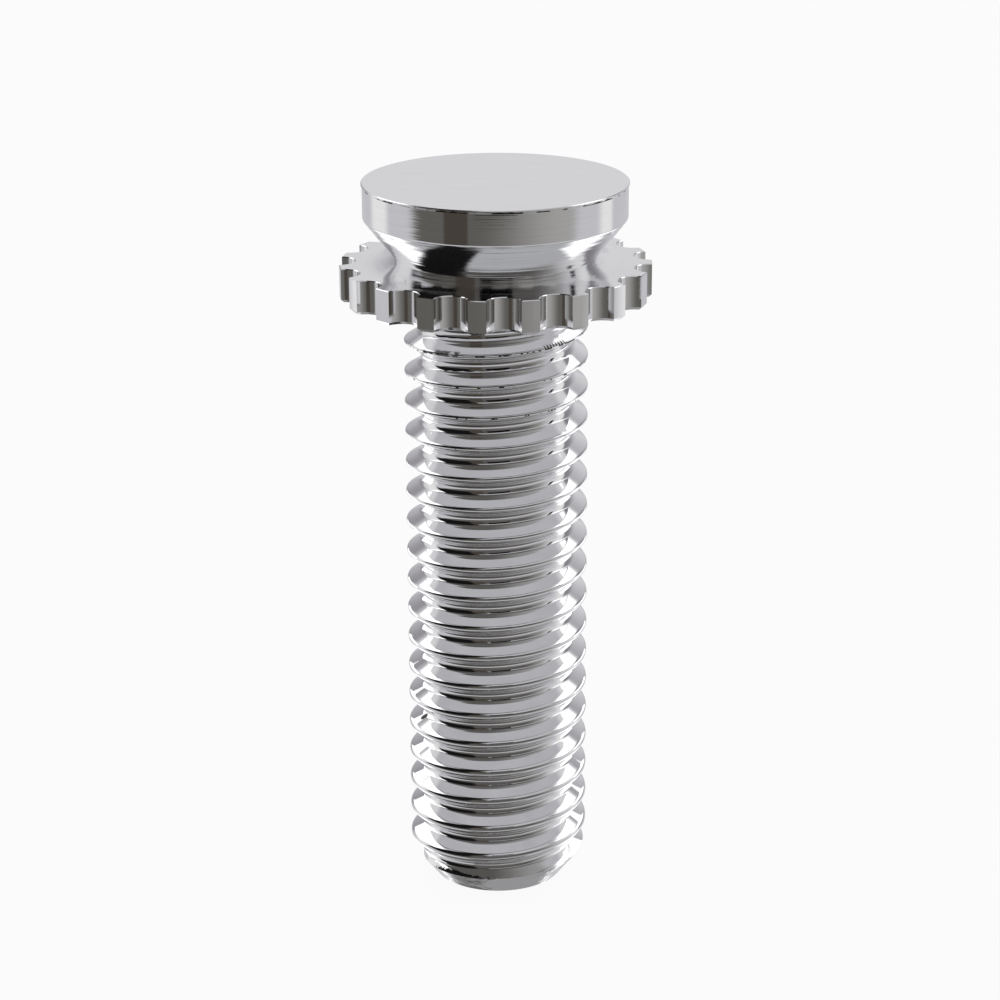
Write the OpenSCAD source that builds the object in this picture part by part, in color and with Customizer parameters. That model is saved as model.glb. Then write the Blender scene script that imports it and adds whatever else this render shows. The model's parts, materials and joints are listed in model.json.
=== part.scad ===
// Concealed-head stud: a threaded shank, a toothed collar, and an undercut head disc, all one piece.
// The stud stands on its threaded end at z = 0, with the head disc on top. Millimetres.

/* [Shank] */
// Length of the threaded shank, from its end to the underside of the collar
shank_length = 10; // [6:0.5:25]
// Diameter of the flat at the shank's end
end_d = 2.16; // [1.6:0.02:2.2]
// Height of the taper that runs from the end flat up to the full thread
end_taper = 0.5; // [0.3:0.05:1]

/* [Thread] */
// Diameter over the thread's crests
thread_d = 2.95; // [2.85:0.01:3.1]
// Height from one turn to the next
thread_pitch = 0.5; // [0.45:0.01:0.6]
// Depth of the thread, from crest to root
thread_depth = 0.3; // [0.2:0.01:0.32]
// Width of the crest between its rounded edges
crest_width = 0.12; // [0.04:0.01:0.14]
// Drop from the middle of the crest to its edges
crest_round = 0.03; // [0.01:0.005:0.04]
// Angle between the two flanks of the thread
flank_angle = 60; // [50:1:60]
// Direction, from +X, in which the crest runs into the collar's underside
thread_exit = -31; // [-180:1:180]
// Height of the plain ring under the collar, which the thread runs into
land_height = 0.05; // [0.02:0.01:0.2]
// How far that ring stands out beyond the thread's crests
land_margin = 0.02; // [0.01:0.01:0.05]

/* [Collar] */
// Diameter over the tips of the teeth
collar_d = 4.96; // [4.8:0.02:5.4]
// Thickness of the toothed collar
collar_thickness = 0.55; // [0.4:0.05:1]
// Number of teeth round the collar
teeth = 19; // [12:1:21]
// Radius of the round gap between two teeth
gap_r = 0.27; // [0.2:0.01:0.3]
// How far the centre of each gap lies outside the tips of the teeth
gap_offset = 0.02; // [0:0.01:0.08]
// Direction of the first tooth, from +X
first_tooth = -96.5; // [-180:0.5:180]
// Bevel round the lower edge of the teeth
tooth_bevel = 0.05; // [0.02:0.01:0.1]

/* [Neck] */
// Diameter of the neck at its narrowest, where the head's cone starts
neck_d = 3.24; // [3:0.02:3.5]
// Height of the narrowest part above the collar
neck_height = 0.14; // [0.1:0.01:0.25]
// Radius of the hollow curve that runs from the neck out to the collar
neck_fillet = 1; // [0.4:0.02:1.2]

/* [Head] */
// Diameter of the head disc
disc_d = 4.2; // [4:0.02:4.6]
// Thickness of the head disc's straight side
disc_thickness = 0.56; // [0.3:0.02:1]
// Height of the undercut cone between the neck and the disc
cone_height = 0.6; // [0.4:0.02:1]

/* [Hidden] */
$fn = 96;

// Heights of the main levels
collar_top = shank_length + collar_thickness;
neck_z = collar_top + neck_height;
disc_z = neck_z + cone_height;
head_top = disc_z + disc_thickness;

// Thread form: [height from the middle of the crest, radius] of each corner of one turn
thread_steps = 40;
crest_r = thread_d / 2;
root_r = crest_r - thread_depth;
flank_run = (thread_depth - crest_round) * tan(flank_angle / 2);
thread_form = [
    [-crest_width / 2 - flank_run, root_r],
    [-crest_width / 2, crest_r - crest_round],
    [0, crest_r],
    [crest_width / 2, crest_r - crest_round],
    [crest_width / 2 + flank_run, root_r]
];
corners = len(thread_form);

// The shank runs up inside the collar, so that the thread has no free end there
shank_top = shank_length + collar_thickness / 2;
// Corners nearer than this to either end of the shank are moved onto the end itself
snap = 0.02;

// Thread steps are counted along the helix, from one turn below the shank to one turn above it
exit_z = shank_length - thread_pitch * thread_exit / 360;
first_step = floor((-exit_z / thread_pitch - 1) * thread_steps);
last_step = ceil(((shank_top - exit_z) / thread_pitch + 1) * thread_steps);

function step_angle(s) = 360 * s / thread_steps;
function corner_z(s, c) = exit_z + thread_pitch * s / thread_steps + thread_form[c][0];
function round_index(s) = s - thread_steps * floor(s / thread_steps);

// The taper at the end cuts every corner back to a cone
function taper_r(z) = end_d / 2 + (crest_r - end_d / 2) * z / end_taper;
function corner_r(z, c) = min(thread_form[c][1], taper_r(z));

function ring_point(r, a, z) = [r * cos(a), r * sin(a), z];
function corner_point(s, c) =
    let (z = min(max(corner_z(s, c), 0), shank_top))
    ring_point(corner_r(z, c), step_angle(s), z);

// Where a corner stands in the list of points: the end rings come first, then each step's corners
function index(s, c) =
    c == corners ? index(s + thread_steps, 0) :
    corner_z(s, c) < snap ? round_index(s) :
    corner_z(s, c) > shank_top - snap ? thread_steps + round_index(s) :
    2 * thread_steps + (s - first_step) * corners + c;

function whole(face) = face[0] != face[1] && face[1] != face[2] && face[2] != face[0];

module shank() {
    end_ring = [for (i = [0 : thread_steps - 1]) ring_point(end_d / 2, step_angle(i), 0)];
    top_ring = [for (i = [0 : thread_steps - 1]) ring_point(root_r, step_angle(i), shank_top)];
    helix = [
        for (s = [first_step : last_step + thread_steps])
            for (c = [0 : corners - 1]) corner_point(s, c)
    ];
    sides = [
        for (s = [first_step : last_step - 1])
            for (c = [0 : corners - 1])
                let (a = index(s, c), b = index(s + 1, c), d = index(s + 1, c + 1), e = index(s, c + 1))
                    for (face = [[a, e, d], [a, d, b]])
                        if (whole(face)) face
    ];
    ends = [
        [for (i = [0 : thread_steps - 1]) i],
        [for (i = [thread_steps - 1 : -1 : 0]) thread_steps + i]
    ];
    color("silver")
        polyhedron(points = concat(end_ring, top_ring, helix), faces = concat(ends, sides), convexity = 20);
}

module land() {
    color("silver")
        translate([0, 0, shank_length - land_height])
            cylinder(h = land_height + collar_thickness / 2, r = crest_r + land_margin);
}

module tooth_outline() {
    difference() {
        circle(d = collar_d);
        for (i = [0 : teeth - 1])
            rotate(first_tooth + (i + 0.5) * 360 / teeth)
                translate([collar_d / 2 + gap_offset, 0])
                    circle(r = gap_r, $fn = 32);
    }
}

module collar() {
    color("silver")
        translate([0, 0, shank_length])
            intersection() {
                linear_extrude(collar_thickness)
                    tooth_outline();
                union() {
                    cylinder(h = tooth_bevel, d1 = collar_d - 2 * tooth_bevel, d2 = collar_d);
                    translate([0, 0, tooth_bevel])
                        cylinder(h = collar_thickness - tooth_bevel, d = collar_d);
                }
            }
}

// Half section of everything above the collar, from the axis outwards
module head_section() {
    foot_r = neck_d / 2 + sqrt(neck_height * (2 * neck_fillet - neck_height));
    difference() {
        translate([0, shank_top])
            square([foot_r, neck_z - shank_top]);
        translate([foot_r, collar_top + neck_fillet])
            circle(r = neck_fillet);
    }
    polygon([[0, neck_z], [neck_d / 2, neck_z], [disc_d / 2, disc_z], [0, disc_z]]);
    translate([0, disc_z])
        square([disc_d / 2, disc_thickness]);
}

module head() {
    color("silver")
        rotate_extrude()
            head_section();
}

module stud() {
    union() {
        shank();
        land();
        collar();
        head();
    }
}

stud();
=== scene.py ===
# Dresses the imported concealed-head stud: one finely shaped steel piece, a pale floor, a studio and a camera.
import json
import math

import bpy
import numpy as np
from mathutils import Matrix


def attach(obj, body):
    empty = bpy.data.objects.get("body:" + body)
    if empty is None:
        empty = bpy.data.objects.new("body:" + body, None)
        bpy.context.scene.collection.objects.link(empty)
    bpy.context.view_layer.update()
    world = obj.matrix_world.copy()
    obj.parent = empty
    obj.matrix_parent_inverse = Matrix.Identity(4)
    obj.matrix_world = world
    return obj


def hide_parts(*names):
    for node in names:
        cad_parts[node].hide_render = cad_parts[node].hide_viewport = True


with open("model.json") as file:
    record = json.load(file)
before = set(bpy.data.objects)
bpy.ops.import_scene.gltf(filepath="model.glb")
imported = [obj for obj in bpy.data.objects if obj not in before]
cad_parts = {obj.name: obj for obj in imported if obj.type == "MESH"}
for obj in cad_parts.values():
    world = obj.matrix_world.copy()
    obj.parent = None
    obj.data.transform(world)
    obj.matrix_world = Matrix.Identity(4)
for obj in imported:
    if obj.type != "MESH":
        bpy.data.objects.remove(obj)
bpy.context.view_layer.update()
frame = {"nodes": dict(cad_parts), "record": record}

mm = 0.001
mounts = {mount["name"]: mount for mount in frame["record"]["mounts"]}
print("frame loaded:", ", ".join(frame["nodes"]))


# Shader maths: arithmetic on a Socket adds the Math nodes that work it out
class Socket:
    def __init__(self, tree, socket):
        self.tree = tree
        self.socket = socket

    def math(self, operation, *values):
        return self.tree.node("Math", {"operation": operation}, dict(enumerate(values)))

    def __add__(self, other):
        return self.math("ADD", self, other)

    def __sub__(self, other):
        return self.math("SUBTRACT", self, other)

    def __rsub__(self, other):
        return self.math("SUBTRACT", other, self)

    def __mul__(self, other):
        return self.math("MULTIPLY", self, other)

    def __truediv__(self, other):
        return self.math("DIVIDE", self, other)

    __radd__ = __add__
    __rmul__ = __mul__

    def fract(self):
        return self.math("FRACT", self)

    def rise(self, low, high):  # 0 below low, 1 above high, smooth in between
        return self.tree.node("MapRange", {"interpolation_type": "SMOOTHSTEP"},
                              {"Value": self, "From Min": low, "From Max": high})

    def within(self, a, b, c, d):  # rises from a to b, falls from c to d
        return self.rise(a, b) * (1 - self.rise(c, d))


class Shading:
    def __init__(self, owner):
        owner.use_nodes = True
        self.nodes = owner.node_tree.nodes
        self.links = owner.node_tree.links
        self.nodes.clear()

    def node(self, kind, settings=None, inputs=None, output=0):
        made = self.nodes.new("ShaderNode" + kind)
        for name, value in (settings or {}).items():
            setattr(made, name, value)
        for name, value in (inputs or {}).items():
            if isinstance(value, Socket):
                self.links.new(value.socket, made.inputs[name])
            else:
                made.inputs[name].default_value = value
        return Socket(self, made.outputs[output]) if made.outputs else made

    def mix(self, factor, low, high):  # from colour low to colour high
        return self.node("Mix", {"data_type": "RGBA"}, {0: factor, 6: low, 7: high}, output=2)

    def noise(self, vector, scale, detail):
        return self.node("TexNoise", {}, {"Vector": vector, "Scale": scale, "Detail": detail})

    def split(self, vector):
        xyz = self.node("SeparateXYZ", {}, {0: vector})
        return [Socket(self, output) for output in xyz.socket.node.outputs]

    def vector(self, x, y, z):
        return self.node("CombineXYZ", {}, {0: x, 1: y, 2: z})


def newMaterial(name):
    material = bpy.data.materials.new(name)
    return material, Shading(material)


def newObject(name, data):
    made = bpy.data.objects.new(name, data)
    bpy.context.scene.collection.objects.link(made)
    return made


def opaque(colour):
    return (*colour, 1)


# The stud, in millimetres and degrees from +X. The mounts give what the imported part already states.
shankLength = mounts["collar_underside"]["pos_m"][2] / mm
discRadius = mounts["head_disc"]["dims"]["r_mm"]
headTop = mounts["head_face"]["pos_m"][2] / mm


class Skin:  # gathers points and faces of one closed surface
    def __init__(self):
        self.points = []
        self.faces = []
        self.surfaces = []

    def add(self, x, y, z):  # returns the new points' numbers
        start = sum(len(block) for block in self.points)
        block = np.stack(np.broadcast_arrays(x, y, z), axis=-1).reshape(-1, 3)
        self.points.append(block)
        return np.arange(start, start + len(block))

    def ring(self, radius, angle, z):
        return self.add(radius * np.cos(angle), radius * np.sin(angle), z)

    def face(self, corners, surface):
        self.faces.append([int(c) for c in corners])
        self.surfaces.append(surface)

    def join(self, below, above, surface):  # a band of faces between two rings of as many points
        for i in range(len(below)):
            k = (i + 1) % len(below)
            self.face((below[i], below[k], above[k], above[i]), surface)

    def fanOut(self, inner, outer, surface):  # three outer points to each inner one, seen from below
        for i in range(len(inner)):
            k = (i + 1) % len(inner)
            a, b, c, d = (outer[(3 * i + n) % len(outer)] for n in range(4))
            self.face((inner[i], a, b), surface)
            self.face((inner[i], b, c, inner[k]), surface)
            self.face((inner[k], c, d), surface)

    def close(self, ring, z, upward, surface):
        centre = int(self.add(0.0, 0.0, z)[0])
        for i in range(len(ring)):
            k = (i + 1) % len(ring)
            pair = (ring[i], ring[k]) if upward else (ring[k], ring[i])
            self.face((*pair, centre), surface)


collar = {
    "tipRadius": 2.48,
    "teeth": 19,
    "gapRadius": 0.27,
    "gapCentre": 2.5,         # how far the gaps' centres lie from the axis
    "firstTooth": -96.5,
    "thickness": 0.55,
    "bevel": 0.05,
    "edgeRound": 0.012,
    "landRadius": 1.495,      # plain ring that the thread runs into
    "landHeight": 0.05,
    "rimWidth": 0.2,          # ring of fine faces round the land, on the collar's underside
    "tipSteps": 8,
    "gapSteps": 16,
}
headColumns = (collar["tipSteps"] + collar["gapSteps"]) * collar["teeth"]
threadColumns = headColumns // 3  # fanOut joins the two


def toothOutline(inset):
    # Radius and angle of every point round the collar, moved in from its outline by inset
    tip = collar["tipRadius"] - inset
    gap = collar["gapRadius"] + inset
    reach = collar["gapCentre"]
    cornerAngle = math.acos((tip ** 2 + reach ** 2 - gap ** 2) / (2 * tip * reach))
    cornerTurn = math.acos((reach - tip * math.cos(cornerAngle)) / gap)
    pitchAngle = 2 * math.pi / collar["teeth"]
    tipHalf = pitchAngle / 2 - cornerAngle
    half = collar["tipSteps"] // 2
    turn = np.linspace(-cornerTurn, cornerTurn, collar["gapSteps"] + 1)
    x, y = reach - gap * np.cos(turn), gap * np.sin(turn)
    rising = tipHalf * np.arange(half) / half
    angle = np.concatenate((rising, pitchAngle / 2 + np.arctan2(y, x), pitchAngle - rising[:0:-1]))
    radius = np.concatenate((np.full(half, tip), np.hypot(x, y), np.full(half - 1, tip)))
    starts = math.radians(collar["firstTooth"]) + pitchAngle * np.arange(collar["teeth"])
    return np.tile(radius, collar["teeth"]), (starts[:, None] + angle[None, :]).ravel()


thread = {
    "crestRadius": 1.475,
    "depth": 0.273,
    "pitch": 0.507,
    "flankSlope": 30,            # between each flank and a level plane
    "flankPoints": (0.1, 0.9),   # shares of the flank's length, close to both rounds
    "crestRound": (0.08, 0.03),  # radius of the rounded crest at the end and under the collar
    "exitAngle": -31,            # where the crest reaches the collar
    "endRadius": 1.08,           # flat at the end of the shank
    "endInner": 0.6,             # inner ring on that flat, as a share of its radius
    "endTaper": 0.5,             # height of the taper above that flat
    "taperBlend": 0.02,          # how softly the crests run into the taper
    "snap": 0.006,               # points nearer to either end of the thread move onto it
}
exitHeight = shankLength - thread["pitch"] * thread["exitAngle"] / 360


def softMin(a, b, blend):
    return 0.5 * (a + b - np.sqrt((a - b) ** 2 + blend ** 2))


def threadForm(crestRound):
    # Height from the crest's middle and radius of each level of one turn, from root to root.
    # The flanks stay tangent to both rounds, so a smaller crest gives a larger root.
    half = thread["pitch"] / 2
    slope = math.radians(thread["flankSlope"])
    steep = 90 - thread["flankSlope"]
    crestRound = np.asarray(crestRound)[..., None]
    rootRound = (half / math.tan(slope) - thread["depth"]) / (1 / math.sin(slope) - 1) - crestRound
    turn = np.radians((0, steep / 2, steep))
    rootHeight = rootRound * np.sin(turn) - half
    rootRadius = thread["crestRadius"] - thread["depth"] + rootRound * (1 - np.cos(turn))
    turn = np.radians((-steep, -steep * 2 / 3, -steep / 3, 0))
    crestHeight = crestRound * np.sin(turn)
    crestRadius = thread["crestRadius"] - crestRound * (1 - np.cos(turn))
    halves = []
    for root, crest in ((rootHeight, crestHeight), (rootRadius, crestRadius)):
        foot, edge = root[..., -1:], crest[..., :1]
        flank = [foot + (edge - foot) * share for share in thread["flankPoints"]]
        halves.append(np.concatenate([root, *flank, crest], axis=-1))
    height, radius = halves
    back = slice(-2, 0, -1)
    return (np.concatenate((height, -height[..., back]), axis=-1),
            np.concatenate((radius, radius[..., back]), axis=-1))


def addThread(skin):
    columns = threadColumns
    pitch = thread["pitch"]
    top = shankLength - collar["landHeight"]
    first = math.floor((-exitHeight / pitch - 1) * columns)
    last = math.ceil(((top - exitHeight) / pitch + 1) * columns)
    steps = np.arange(first, last + columns + 1)
    angle = 2 * np.pi * steps / columns
    crestHeight = exitHeight + pitch * steps / columns
    atEnd, atCollar = thread["crestRound"]
    upward = np.clip(crestHeight / shankLength, 0, 1)
    heights, radii = threadForm(atEnd + (atCollar - atEnd) * upward)
    levels = heights.shape[1]
    z = crestHeight[:, None] + heights
    taper = thread["endRadius"] + (thread["crestRadius"] - thread["endRadius"]) * z / thread["endTaper"]
    radius = softMin(radii, taper, thread["taperBlend"])

    around = 2 * np.pi * np.arange(columns) / columns
    crestThere = exitHeight + pitch * np.arange(columns) / columns
    offset = (top - crestThere + pitch / 2) % pitch - pitch / 2
    heights, radii = threadForm(atCollar)
    topRadius = np.interp(offset, np.append(heights, -heights[0]), np.append(radii, radii[0]))
    endRing = skin.ring(thread["endRadius"], around, 0.0)
    topRing = skin.ring(topRadius, around, top)
    body = skin.add(radius * np.cos(angle)[:, None], radius * np.sin(angle)[:, None], z)
    column = (steps % columns)[:, None]
    nearTop = np.where(z > top - thread["snap"], topRing[column], body.reshape(z.shape))
    numbers = np.where(z < thread["snap"], endRing[column], nearTop)
    for s in range(last - first):
        for c in range(levels):
            onTop = (s, c + 1) if c + 1 < levels else (s + columns, 0)
            corners = [numbers[s, c], numbers[s + 1, c], numbers[onTop[0] + 1, onTop[1]], numbers[onTop]]
            corners = [p for i, p in enumerate(corners) if p != corners[i - 1]]
            if len(corners) > 2:
                skin.face(corners, "thread")
    inner = skin.ring(thread["endRadius"] * thread["endInner"], around, 0.0)
    skin.join(inner, endRing, "end")
    skin.close(inner, 0.0, False, "end")
    return topRing, around


head = {
    "neckRadius": 1.62,
    "neckHeight": 0.14,
    "neckFillet": 1.0,
    "filletRings": 13,
    "coneHeight": 0.6,
    "coneSteps": 26,
    "turningRipple": 0.006,   # height of the coarsest rings on the cone
    "rippleSeed": 4,
    "edgeRound": 0.012,
    "edgeStart": (0.6, 0.7),  # how far in and down the disc's lower edge starts, in edge rounds
    "faceRings": (0.7, 0.3),  # rings on the top face, as shares of the disc's radius
    "lipWidth": 0.016,        # burr that stands out round the disc's top edge
    "lipHeight": 0.03,
    "lipRagged": 0.014,
    "lipRoom": 0.9,           # how far its ragged line may stray, in edge rounds
    "lipWaves": (9, 90, 4),   # waves round the disc that make that line: fewest, limit, step
    "lipSeed": 8,
}


def headProfile():
    # Radius, height and surface of each ring from the foot of the neck's fillet to the top face
    collarTop = shankLength + collar["thickness"]
    fillet = head["neckFillet"]
    sweep = math.acos(1 - head["neckHeight"] / fillet)
    footRadius = head["neckRadius"] + fillet * math.sin(sweep)
    rings = []
    for t in np.linspace(0, sweep, head["filletRings"]):
        rings.append((footRadius - fillet * math.sin(t), collarTop + fillet * (1 - math.cos(t)), "cone"))
    neckTop = collarTop + head["neckHeight"]
    rand = np.random.default_rng(head["rippleSeed"])
    for i in range(1, head["coneSteps"]):
        t = i / head["coneSteps"]
        ripple = head["turningRipple"] * rand.uniform(-1, 1) ** 3
        rings.append((head["neckRadius"] + (discRadius - head["neckRadius"]) * t + ripple,
                      neckTop + head["coneHeight"] * t, "cone"))
    edge = head["edgeRound"]
    discBottom = neckTop + head["coneHeight"]
    burrHeight = headTop - head["lipHeight"]
    inward, down = head["edgeStart"]
    rings += [
        (discRadius - edge * inward, discBottom - edge * down, "turned"),
        (discRadius, discBottom + edge, "turned"),
        (discRadius, discBottom + edge * 2, "turned"),
        (discRadius, (discBottom + headTop) / 2, "turned"),
        (discRadius, burrHeight - edge * 2, "turned"),
        # these two rings make the lip's underside, which carries the painted shade
        (discRadius, burrHeight - edge, "burr"),
        (discRadius + head["lipWidth"], burrHeight, "burr"),
        (discRadius + head["lipWidth"], headTop - edge, "lip"),
        (discRadius + head["lipWidth"] - edge, headTop, "face"),
    ]
    return rings + [(discRadius * share, headTop, "face") for share in head["faceRings"]]


def raggedLine(angle):  # heights of the burr's uneven line, kept between the rings next to it
    rand = np.random.default_rng(head["lipSeed"])
    waves = [np.sin(n * angle + rand.uniform(0, 6)) * rand.uniform(0.3, 1) for n in range(*head["lipWaves"])]
    room = head["edgeRound"] * head["lipRoom"]
    return np.clip(head["lipRagged"] * (sum(waves) / math.sqrt(len(waves))), -room, room)


def addHead(skin, threadTop, around):
    under = shankLength
    shoulder = [skin.ring(collar["landRadius"], around, z) for z in (under - collar["landHeight"], under)]
    skin.join(threadTop, shoulder[0], "thread")
    skin.join(shoulder[0], shoulder[1], "thread")
    even = around[0] + 2 * np.pi * np.arange(headColumns) / headColumns
    wide = skin.ring(collar["landRadius"] + collar["rimWidth"], even, under)
    skin.fanOut(shoulder[1], wide, "collar")

    # The teeth's columns start at the first tooth, so the ring below them is turned to match
    firstTooth = math.radians(collar["firstTooth"])
    turned = np.roll(wide, -round(firstTooth % (2 * np.pi) / (2 * np.pi) * headColumns))
    radius, angle = toothOutline(collar["bevel"])
    below = skin.ring(radius, angle, under)
    skin.join(turned, below, "collar")
    top = under + collar["thickness"]
    edge = collar["edgeRound"]
    levels = [(0.0, under + collar["bevel"]), (0.0, (under + top) / 2), (0.0, top - edge), (edge, top)]
    for inset, z in levels:
        radius, angle = toothOutline(inset)
        above = skin.ring(radius, angle, z)
        skin.join(below, above, "teeth")
        below = above
    evenHead = firstTooth + 2 * np.pi * np.arange(headColumns) / headColumns
    ragged = raggedLine(evenHead)
    for radius, z, surface in headProfile():
        uneven = ragged if surface == "burr" else 0
        above = skin.ring(radius, evenHead, z + uneven)
        skin.join(below, above, surface)
        below = above
    skin.close(below, headTop, True, "face")


def buildStud():
    skin = Skin()
    threadTop, around = addThread(skin)
    addHead(skin, threadTop, around)
    points = np.concatenate(skin.points)
    used = np.unique([corner for face in skin.faces for corner in face])
    renumber = np.zeros(len(points), int)
    renumber[used] = np.arange(len(used))
    mesh = bpy.data.meshes.new("stud_steel")
    mesh.from_pydata((points[used] * mm).tolist(), [], [renumber[f].tolist() for f in skin.faces])
    mesh.validate()
    return newObject("stud_steel", mesh), skin.surfaces


# Small marks on the thread and the collar; the specks along the crest are partly painted shade. Heights are in
# millimetres and angles in degrees from +X.
# A band is counted in turns above the middle of the crest.
marks = {
    "lastTurn": (9.2, 9.25, 9.56, 9.6),      # heights that hold the turn under the collar
    "tornAngle": (-133, -129, -115, -111),   # torn patch where the thread runs into the collar
    "tornBand": (-0.06, -0.02, 0.08, 0.12),
    "tornGrain": (0.44, 0.5),
    "tornFill": 0.1,
    "tornStrength": 0.8,
    "combAngle": (-60, -58, -44, -42),       # row of short burrs there
    "combBand": (-0.01, 0.02, 0.06, 0.12),
    "combSpacing": 2.2,                      # degrees between those burrs
    "combTooth": (0.05, 0.2, 0.5, 0.65),     # where a burr rises and falls, as shares of the spacing
    "speckBand": (-0.05, -0.03, 0.0, 0.02),  # specks along the crest's lower side: spotty wear, and painted shade that dims the crest's highlight
    "speckGrain": (0.62, 0.66),
    "speckStart": (7.2, 8.2),                # heights over which the specks set in
    "speckGrowth": (8.2, 9.6),               # heights over which they get more
    "speckMore": 0.12,
    "nicks": ((-1.219, -0.376, 2.869, 0.08), (-1.12, -0.951, 9.322, 0.045)),  # place and radius
    "nickEdge": (0.5, 1.1),                  # squared distances, in radii, over which a nick fades
    "collarGrain": (0.70, 0.74),
    "collarStrength": 0.8,
}


def markThread(x, y, z, grain):
    around = y.math("ARCTAN2", y, x) / (2 * math.pi)
    turns = z / thread["pitch"] - around - exitHeight / thread["pitch"]
    offset = (turns + 0.5).fract() - 0.5  # turns above the nearest crest
    angle = around * 360
    lastTurn = z.within(*marks["lastTurn"])
    torn = lastTurn * angle.within(*marks["tornAngle"]) * offset.within(*marks["tornBand"])
    torn = torn * (grain + torn * marks["tornFill"]).rise(*marks["tornGrain"])
    comb = lastTurn * angle.within(*marks["combAngle"]) * offset.within(*marks["combBand"])
    comb = comb * (angle / marks["combSpacing"]).fract().within(*marks["combTooth"])
    more = z.rise(*marks["speckGrowth"]) * marks["speckMore"]
    # Specks: spotty wear and painted shade on the crest's lower side, dimming its highlight
    specks = offset.within(*marks["speckBand"]) * (grain + more).rise(*marks["speckGrain"])
    specks = specks * z.rise(*marks["speckStart"])
    total = torn * marks["tornStrength"] + comb + specks
    for *centre, radius in marks["nicks"]:
        apart = [(axis - at) / radius for axis, at in zip((x, y, z), centre)]
        total = total + (1 - sum(part * part for part in apart).rise(*marks["nickEdge"]))
    return total.math("MINIMUM", total, 1.0)


def markCollar(x, y, z, grain):
    return grain.rise(*marks["collarGrain"]) * marks["collarStrength"]


# Finishes. Scales are counted per millimetre.
steel = {
    "colour": (0.88, 0.88, 0.89),
    "marked": (0.05, 0.042, 0.036),  # torn and dirty places, and painted shade under the lip and along the crest
    "markedRoughness": 0.4,
    "cloudScale": 1,
    "cloudRoughness": 0.05,
    "grainScale": 9,
    "streakContrast": 0.16,
    "streakDirt": 0.06,
    "dentedHeight": (0.32, 0.42),    # the end's taper is dented up to here
    "sharpEdge": 35,                 # degrees from which an edge stays crisp
    "flatWeight": 60,                # how strongly large faces steer the smooth shading
}
# Painted shade: the burr's underside, under the lip, is coloured dark and broken up by noise
burr = {
    "breakScale": 3.5,
    "breakEdge": (0.5, 0.56),        # noise between which the painted shade under the lip breaks off
    "metallic": 0.9,
    "roughness": 0.4,
}
# Streaks and dents are bump heights in millimetres. Fineness stretches the streaks along X, Y and Z.
surfaces = {
    "thread": {"name": "rolled_thread", "roughness": 0.06, "streaks": 0.0001, "fineness": (2, 2, 6),
               "dents": 0.008, "mark": markThread},
    "end": {"name": "sawn_end", "roughness": 0.3, "streaks": 0.001, "fineness": (6, 6, 1)},
    "collar": {"name": "collar_face", "roughness": 0.10, "streaks": 0.0005, "fineness": (3, 3, 3),
               "mark": markCollar},
    "teeth": {"name": "pressed_teeth", "roughness": 0.10, "streaks": 0.0015, "fineness": (6, 6, 1)},
    "turned": {"name": "turned_head", "roughness": 0.07, "streaks": 0.001, "fineness": (0.4, 0.4, 40)},
    "cone": {"name": "turned_cone", "roughness": 0.07, "streaks": 0.0045, "fineness": (0.3, 0.3, 34)},
    "face": {"name": "brushed_face", "roughness": 0.16, "streaks": 0.0008, "fineness": (1.2, 30, 1)},
}


def finishSteel(name, roughness, streaks, fineness, dents=0.0, mark=None):
    material, shading = newMaterial(name)
    place = shading.node("TexCoord", output="Object")
    x, y, z = (part / mm for part in shading.split(place))
    stretched = shading.vector(*(part * fine for part, fine in zip((x, y, z), fineness)))
    lines = shading.noise(stretched, 1.0, 4.0)
    cloud = shading.noise(place, steel["cloudScale"] / mm, 3.0)
    grain = shading.noise(place, steel["grainScale"] / mm, 2.0)
    height = lines * streaks + grain * dents * (1 - z.rise(*steel["dentedHeight"]))
    bump = shading.node("Bump", {}, {"Height": height, "Strength": 1.0, "Distance": mm})
    rough = roughness + (cloud - 0.5) * steel["cloudRoughness"]
    dirt = (lines - 0.5) * steel["streakContrast"] + steel["streakDirt"]
    colour = shading.mix(dirt, opaque(steel["colour"]), opaque(steel["marked"]))
    if mark:
        marked = mark(x, y, z, grain)
        colour = shading.mix(marked, colour, opaque(steel["marked"]))
        rough = rough + marked * steel["markedRoughness"]
    metal = shading.node("BsdfPrincipled", {}, {
        "Base Color": colour, "Metallic": 1.0, "Roughness": rough, "Normal": bump})
    shading.node("OutputMaterial", {}, {"Surface": metal})
    return material


# Painted shade under the disc's lip: dark colour on the burr's underside, broken by noise into plain steel
def paintBurrShade():
    material, shading = newMaterial("dark_burr")
    place = shading.node("TexCoord", output="Object")
    broken = shading.noise(place, burr["breakScale"] / mm, 2.0).rise(*burr["breakEdge"])
    colour = shading.mix(broken, opaque(steel["marked"]), opaque(steel["colour"]))
    metal = shading.node("BsdfPrincipled", {}, {
        "Base Color": colour, "Metallic": burr["metallic"], "Roughness": burr["roughness"]})
    shading.node("OutputMaterial", {}, {"Surface": metal})
    return material


def dress(piece, surfaceOfFace):
    materials = {surface: finishSteel(**finish) for surface, finish in surfaces.items()}
    materials["burr"] = paintBurrShade()
    slots = {surface: slot for slot, surface in enumerate(materials)}
    slots["lip"] = slots["turned"]
    for material in materials.values():
        piece.data.materials.append(material)
    piece.data.polygons.foreach_set("material_index", [slots[surface] for surface in surfaceOfFace])
    piece.data.polygons.foreach_set("use_smooth", [True] * len(surfaceOfFace))
    piece.data.set_sharp_from_angle(angle=math.radians(steel["sharpEdge"]))
    weighted = piece.modifiers.new("weighted", "WEIGHTED_NORMAL")
    weighted.keep_sharp = True
    weighted.weight = steel["flatWeight"]


stud, surfaceOfFace = buildStud()
dress(stud, surfaceOfFace)
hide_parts("stud")
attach(stud, "root")
print("stud shaped:", len(stud.data.polygons), "faces")


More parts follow.
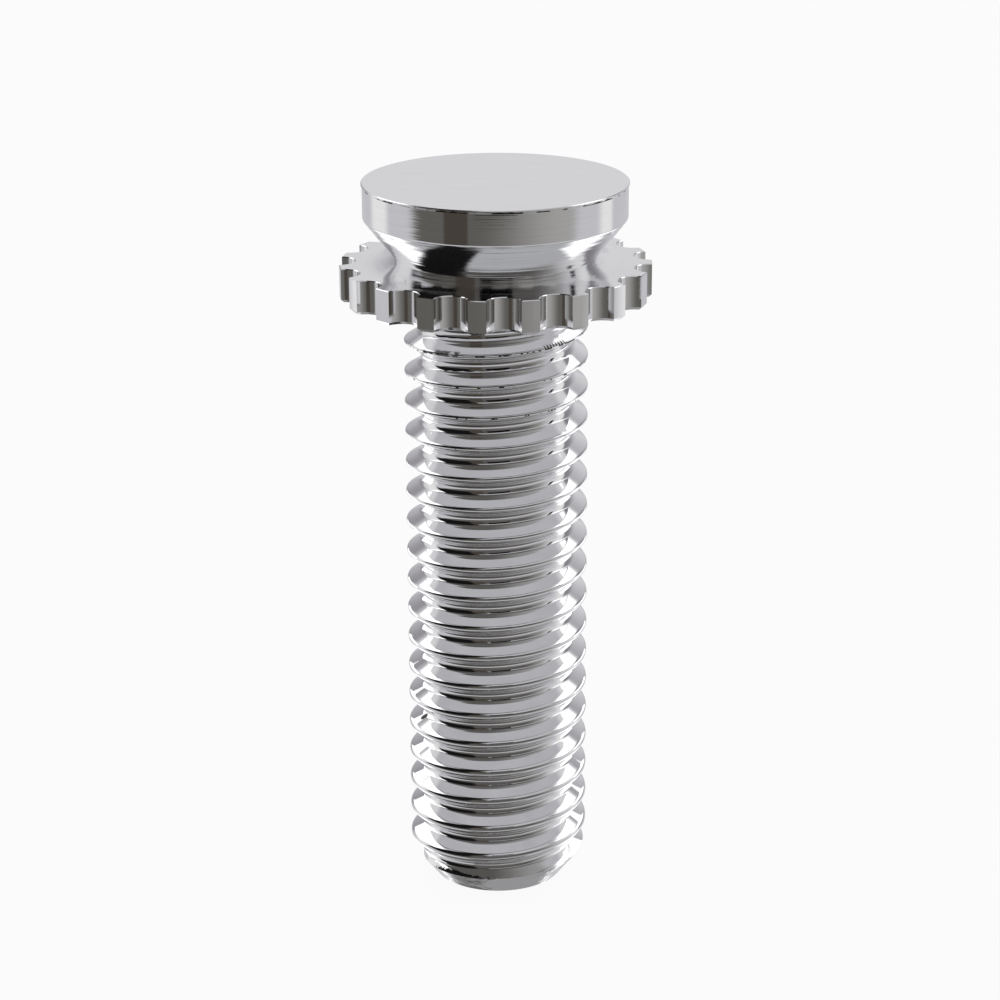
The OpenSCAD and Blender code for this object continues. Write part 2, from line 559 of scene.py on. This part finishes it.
# The studio. Azimuth 0 is in front of the stud, towards the camera, and grows to the right, in degrees.
studio = {
    "frontLeft": (0.125, 0.12, 0.11),
    "frontRight": (0.40, 0.395, 0.385),
    "frontFade": (-20, 64),            # azimuths between which the front turns from left to right
    "frontSpan": (-97, -85, 64, 98),   # azimuths that the front takes up
    "back": (0.73, 0.725, 0.745),
    "ground": (0.6, 0.6, 0.625),
    "groundEdge": (-30, -23),          # elevations between which the ground ends in front
    "groundLift": 30,                  # how much higher it ends at the sides and behind
    "groundSpan": (-115, -40, 40, 115),
    "below": (0.34, 0.34, 0.345),
    "belowEdge": (-54, -46),
    "sky": (0.54, 0.545, 0.56),
    "skyEdge": (36, 46),
}
# Each panel fades in between the first two angles and out between the last two
panels = {
    "darkLeft": {"azimuth": (-110, -101, -42, -34), "elevation": (-3, 5, 74, 84), "colour": (0.008,) * 3},
    "frontHigh": {"azimuth": (-50, -20, 36, 84), "elevation": (-8, 0, 38, 46),
                  "colour": (0.11, 0.105, 0.10)},
    "tallLeft": {"azimuth": (-140, -126, -112, -102), "elevation": (-24, -14, 26, 34), "colour": (0.88,) * 3},
    "tallRight": {"azimuth": (96, 108, 116, 124), "elevation": (-24, -14, 36, 44), "colour": (0.88,) * 3},
    "wedgeLeft": {"azimuth": (-179, -154, -148, -142), "elevation": (-14, -4, 20, 30),
                  "colour": (0.34, 0.33, 0.35)},
    "wedgeRight": {"azimuth": (118, 123, 129, 168), "elevation": (-10, 2, 30, 38),
                   "colour": (0.28, 0.27, 0.29)},
    "boxLeft": {"azimuth": (-168, -160, -106, -98), "elevation": (26, 30, 45, 50), "colour": (1.6,) * 3},
    "boxRight": {"azimuth": (98, 104, 146, 154), "elevation": (33, 38, 52, 58), "colour": (1.6,) * 3},
    "lowRight": {"azimuth": (98, 104, 154, 162), "elevation": (-52, -46, -32, -24), "colour": (1.5,) * 3},
    "lowLeft": {"azimuth": (-164, -156, -114, -107), "elevation": (-50, -45, -32, -24), "colour": (1.5,) * 3},
    "underLeft": {"azimuth": (-160, -140, -70, -46), "elevation": (-91, -90, -57, -49),
                  "colour": (0.13, 0.125, 0.12)},
}


def lightStudio():
    world = bpy.data.worlds.new("studio")
    bpy.context.scene.world = world
    shading = Shading(world)
    x, y, z = shading.split(shading.node("TexCoord", output="Generated"))
    azimuth = x.math("ARCTAN2", x, y * -1) * (180 / math.pi)
    elevation = z.math("ARCSINE", z) * (180 / math.pi)
    frontLeft, frontRight = opaque(studio["frontLeft"]), opaque(studio["frontRight"])
    colour = shading.mix(azimuth.rise(*studio["frontFade"]), frontLeft, frontRight)
    colour = shading.mix(azimuth.within(*studio["frontSpan"]), opaque(studio["back"]), colour)
    lift = studio["groundLift"] * (1 - azimuth.within(*studio["groundSpan"]))
    below, level = opaque(studio["below"]), opaque(studio["ground"])
    ground = shading.mix(elevation.rise(*studio["belowEdge"]), below, level)
    colour = shading.mix((elevation - lift).rise(*studio["groundEdge"]), ground, colour)
    colour = shading.mix(elevation.rise(*studio["skyEdge"]), colour, opaque(studio["sky"]))
    for panel in panels.values():
        mask = azimuth.within(*panel["azimuth"]) * elevation.within(*panel["elevation"])
        colour = shading.mix(mask, colour, opaque(panel["colour"]))
    cameraRays = shading.node("LightPath", output="Is Camera Ray")
    colour = shading.mix(cameraRays, colour, (1, 1, 1, 1))
    light = shading.node("Background", {}, {"Color": colour, "Strength": 1.0})
    shading.node("OutputWorld", {}, {"Surface": light})


# Cards that stand round the stud and show only in the metal. Heights are in millimetres.
cards = {
    "darkCard": {"azimuth": (-16, 17), "height": (10.2, 14.4), "colour": (0.002,) * 3},
    "brownCard": {"azimuth": (-40, -21), "height": (6.8, 14.4), "colour": (0.07, 0.06, 0.05)},
    "sideCard": {"azimuth": (83, 90), "height": (10.6, 15), "colour": (0.015,) * 3},
    "lowCard": {"azimuth": (-40, 40), "height": (-8.6, -4.5), "colour": (0.2, 0.195, 0.19)},
    "footCard": {"azimuth": (-40, 40), "height": (-60, -8.6), "colour": (0.06, 0.055, 0.05)},
    "whiteLeft": {"azimuth": (-148, -114), "height": (2.6, 6.5), "colour": (1.5,) * 3},
    "whiteRight": {"azimuth": (104, 140), "height": (2.6, 6.5), "colour": (1.5,) * 3},
}
cardDistance = 10  # millimetres from the axis to the cards' upright edges


def standCards():
    for name, card in cards.items():
        mesh = bpy.data.meshes.new(name)
        corners = []
        for degrees, height in zip(card["azimuth"] + card["azimuth"][::-1], np.repeat(card["height"], 2)):
            a = math.radians(degrees)
            corners.append((cardDistance * math.sin(a) * mm, -cardDistance * math.cos(a) * mm, height * mm))
        mesh.from_pydata(corners, [], [(0, 1, 2, 3)])
        material, shading = newMaterial(name)
        glow = shading.node("Emission", {}, {"Color": opaque(card["colour"]), "Strength": 1.0})
        shading.node("OutputMaterial", {}, {"Surface": glow})
        mesh.materials.append(material)
        stand = newObject(name, mesh)
        stand.visible_camera = False
        stand.visible_diffuse = False
        stand.visible_shadow = False


floor = {
    "halfSize": 400,  # millimetres
    "colour": 0.99,
    "shadow": 0.05,   # how much of the stud's shadow shows
}


def layFloor():
    half = floor["halfSize"] * mm
    mesh = bpy.data.meshes.new("floor")
    corners = [(-half, -half, 0), (half, -half, 0), (half, half, 0), (-half, half, 0)]
    mesh.from_pydata(corners, [], [(0, 1, 2, 3)])
    material, shading = newMaterial("pale_floor")
    pale = opaque((floor["colour"],) * 3)
    matt = shading.node("BsdfDiffuse", {}, {"Color": pale})
    glow = shading.node("Emission", {}, {"Color": pale, "Strength": 1.0})
    cameraRays = shading.node("LightPath", output="Is Camera Ray")
    surface = shading.node("MixShader", {}, {0: cameraRays * (1 - floor["shadow"]), 1: matt, 2: glow})
    shading.node("OutputMaterial", {}, {"Surface": surface})
    mesh.materials.append(material)
    ground = newObject("floor", mesh)
    ground.visible_glossy = False


view = {
    "place": (0.053, -42.788, 21.295),  # millimetres
    "down": 19.023,                     # degrees below level
    "roll": -0.26,
    "lens": 99.78,
    "sensor": 36,
    "clip": (1, 2000),                  # nearest and farthest distance in view, millimetres
}


def placeCamera():
    camera = newObject("camera", bpy.data.cameras.new("camera"))
    camera.data.lens = view["lens"]
    camera.data.sensor_width = view["sensor"]
    camera.data.clip_start, camera.data.clip_end = (distance * mm for distance in view["clip"])
    tilt = Matrix.Rotation(math.radians(90 - view["down"]), 4, "X")
    roll = Matrix.Rotation(math.radians(view["roll"]), 4, "Z")
    camera.matrix_world = Matrix.Translation([v * mm for v in view["place"]]) @ tilt @ roll
    bpy.context.scene.camera = camera


lightStudio()
standCards()
layFloor()
placeCamera()
bpy.context.scene.view_settings.view_transform = "Standard"
print("studio and camera placed")
